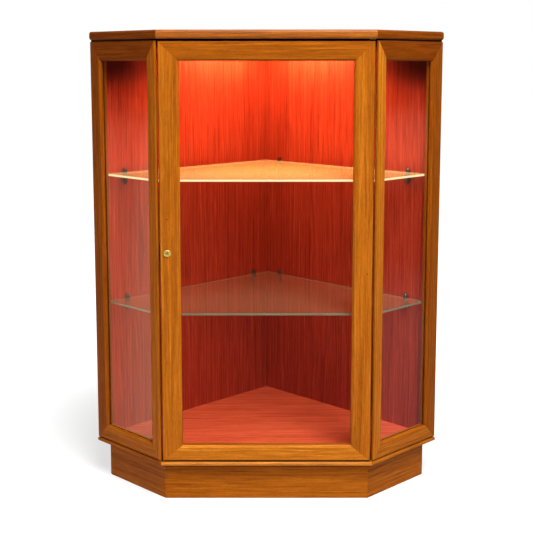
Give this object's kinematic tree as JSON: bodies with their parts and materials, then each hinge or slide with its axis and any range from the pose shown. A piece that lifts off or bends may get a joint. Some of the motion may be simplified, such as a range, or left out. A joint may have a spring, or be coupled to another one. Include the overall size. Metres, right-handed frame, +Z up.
{
  "type": "corner display cabinet",
  "caption": "Five-sided corner display cabinet with a glazed door that locks, glazed angled sides, glass shelves, a ceiling lamp and a recessed plinth.",
  "frame": {"origin": "on the floor, under the middle of the bounding box", "axes": "+Z up; the door faces -Y; the two back walls meet at +Y; +X is the viewer's right"},
  "size_m": [0.804, 0.5692, 1.046],
  "materials": {
    "teak_upright": "satin, grain upright",
    "teak_level": "satin, grain left to right",
    "teak_left": "satin, grain along the left side",
    "teak_right": "satin, grain along the right side",
    "veneer": "satin red-brown veneer",
    "plain_wood": "unfinished softwood",
    "shadow_black": "matte black stained",
    "glass": "clear float glass",
    "brass": "polished",
    "steel": "zinc plated",
    "dark_metal": "dark bronzed",
    "nylon": "plain",
    "lamp_white": "white enamel",
    "lamp_glow": "opal, lit warm",
    "black_plastic": "moulded"
  },
  "bodies": {
    "cabinet": {"top_panel": "teak_level", "top_spacer": "shadow_black", "ceiling_panel": "veneer", "top_screws": "steel", "base_board": "teak_level", "floor_panel": "veneer", "plinth_front": "teak_level", "plinth_left": "teak_left", "plinth_right": "teak_right", "plinth_back_left": "teak_right", "plinth_back_right": "teak_left", "plinth_blocks": "plain_wood", "block_screws": "steel", "back_panel_left": "veneer", "back_panel_right": "veneer", "rear_corner_strip": "plain_wood", "panel_pins": "steel", "left_front_stile": "teak_upright", "left_rear_stile": "teak_upright", "left_top_rail": "teak_left", "left_bottom_rail": "teak_left", "left_pane": "glass", "right_front_stile": "teak_upright", "right_rear_stile": "teak_upright", "right_top_rail": "teak_right", "right_bottom_rail": "teak_right", "right_pane": "glass", "pivot_bush_top": "brass", "pivot_bush_bottom": "brass", "pivot_washer": "nylon", "lock_keeper": "brass", "keeper_screws": "brass", "upper_shelf": "glass", "lower_shelf": "glass", "upper_shelf_supports": "dark_metal", "lower_shelf_supports": "dark_metal", "lamp_housing": "lamp_white", "lamp_holder": "nylon", "lamp_bulb": "lamp_glow", "lamp_lens": "lamp_glow", "lamp_screws": "steel", "cable_grommet": "black_plastic"},
    "door": {"door_left_stile": "teak_upright", "door_right_stile": "teak_upright", "door_top_rail": "teak_level", "door_bottom_rail": "teak_level", "door_pane": "glass", "door_bead_left": "teak_upright", "door_bead_right": "teak_upright", "door_bead_top": "teak_level", "door_bead_bottom": "teak_level", "pivot_pin_top": "steel", "pivot_pin_bottom": "steel", "lock_barrel": "brass", "lock_nut": "brass"},
    "lock_plug": {"lock_plug": "brass", "lock_cam": "steel", "lock_cam_screw": "steel"}
  },
  "joints": [
    {"name": "door_swing", "type": "hinge", "parent": "cabinet", "child": "door", "pos_m": [0.226, -0.27357, 0.0935], "axis": [0, 0, 1], "range_deg": [0, 110]},
    {"name": "lock_turn", "type": "hinge", "parent": "door", "child": "lock_plug", "pos_m": [-0.216, -0.27757, 0.565], "axis": [0, 1, 0], "range_deg": [0, 90]}
  ]
}
